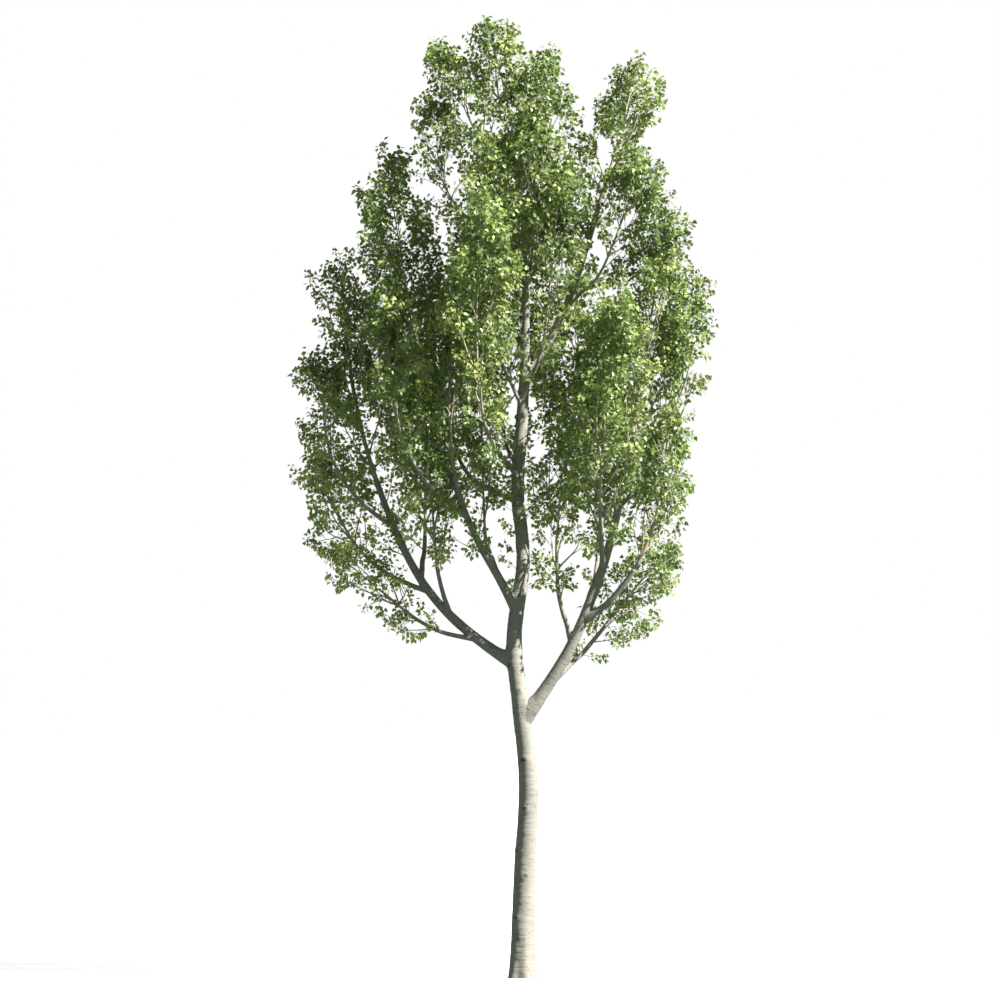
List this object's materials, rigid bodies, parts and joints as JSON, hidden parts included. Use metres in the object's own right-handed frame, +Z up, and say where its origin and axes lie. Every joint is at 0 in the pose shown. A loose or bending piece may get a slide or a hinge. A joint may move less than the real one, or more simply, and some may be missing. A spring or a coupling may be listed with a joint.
{
  "type": "poplar tree",
  "caption": "Tall broadleaf tree with a pale swaying trunk, upswept boughs and upright plumes of small green leaves, cut flat at ground level.",
  "frame": {"origin": "middle of the flat cut under the trunk, at ground level", "axes": "+Z up along the trunk, +X to the right and +Y away from the viewer in the front view"},
  "size_m": [5.3134, 3.5081, 11.9404],
  "materials": {
    "bark": "matte",
    "leaf": "satin"
  },
  "bodies": {
    "root": {"trunk": "bark", "bough_right": "bark", "bough_right_upright": "bark", "bough_right_outer": "bark", "bough_right_low": "bark", "bough_right_back": "bark", "bough_right_front": "bark", "bough_right_far": "bark", "bough_left": "bark", "bough_left_low": "bark", "bough_left_outer": "bark", "bough_left_high": "bark", "bough_left_upright": "bark", "bough_left_back": "bark", "bough_middle": "bark", "bough_middle_front": "bark", "bough_middle_inner": "bark", "bough_left_tall": "bark", "bough_back_left": "bark", "bough_back_right": "bark", "bough_back": "bark", "bough_high_front_left": "bark", "bough_high_front_right": "bark", "bough_high_right": "bark", "bough_high_right_side": "bark", "bough_top_left": "bark", "bough_front_left": "bark", "foliage_top": "leaf", "foliage_top_left": "leaf", "foliage_top_right": "leaf", "foliage_high_front": "leaf", "foliage_high_back": "leaf", "foliage_high_front_left": "leaf", "foliage_high_front_right": "leaf", "foliage_upper_left_tuft": "leaf", "foliage_high_right": "leaf", "foliage_high_right_side": "leaf", "foliage_right_shoulder": "leaf", "foliage_far_right": "leaf", "foliage_right_outer": "leaf", "foliage_right_low": "leaf", "foliage_right_inner": "leaf", "foliage_right_back": "leaf", "foliage_right_front": "leaf", "foliage_back_right": "leaf", "foliage_back": "leaf", "foliage_back_left": "leaf", "foliage_left_tall": "leaf", "foliage_left_shoulder": "leaf", "foliage_far_left": "leaf", "foliage_left_outer": "leaf", "foliage_left_low": "leaf", "foliage_left_inner": "leaf", "foliage_left_back": "leaf", "foliage_left_front": "leaf", "foliage_middle": "leaf", "foliage_middle_inner": "leaf", "foliage_front_left": "leaf"}
  },
  "joints": []
}
